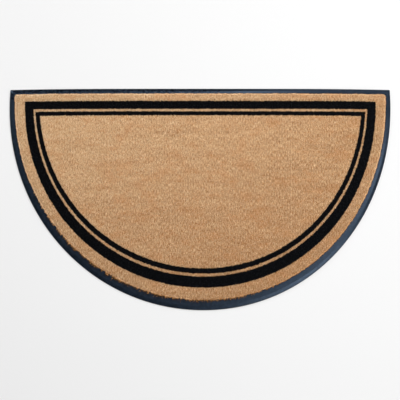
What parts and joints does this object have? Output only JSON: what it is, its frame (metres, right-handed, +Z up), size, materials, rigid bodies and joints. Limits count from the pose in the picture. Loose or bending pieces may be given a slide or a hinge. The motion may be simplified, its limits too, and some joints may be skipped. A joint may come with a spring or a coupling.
{
  "type": "half round doormat",
  "caption": "Half round doormat of brushed coir pile in a moulded rubber tray with a bevelled rim and printed border bands.",
  "frame": {"origin": "on the ground, under the middle of the mat's bounding box", "axes": "+X along the straight back edge, +Y from the middle towards that edge, +Z up out of the pile"},
  "size_m": [0.99, 0.5756, 0.0153],
  "materials": {
    "rubber": "moulded, satin, blue-black",
    "coir": "natural coir brush pile with a black printed border"
  },
  "bodies": {
    "root": {"rubber_tray": "rubber", "coir_pile": "coir"}
  },
  "joints": []
}
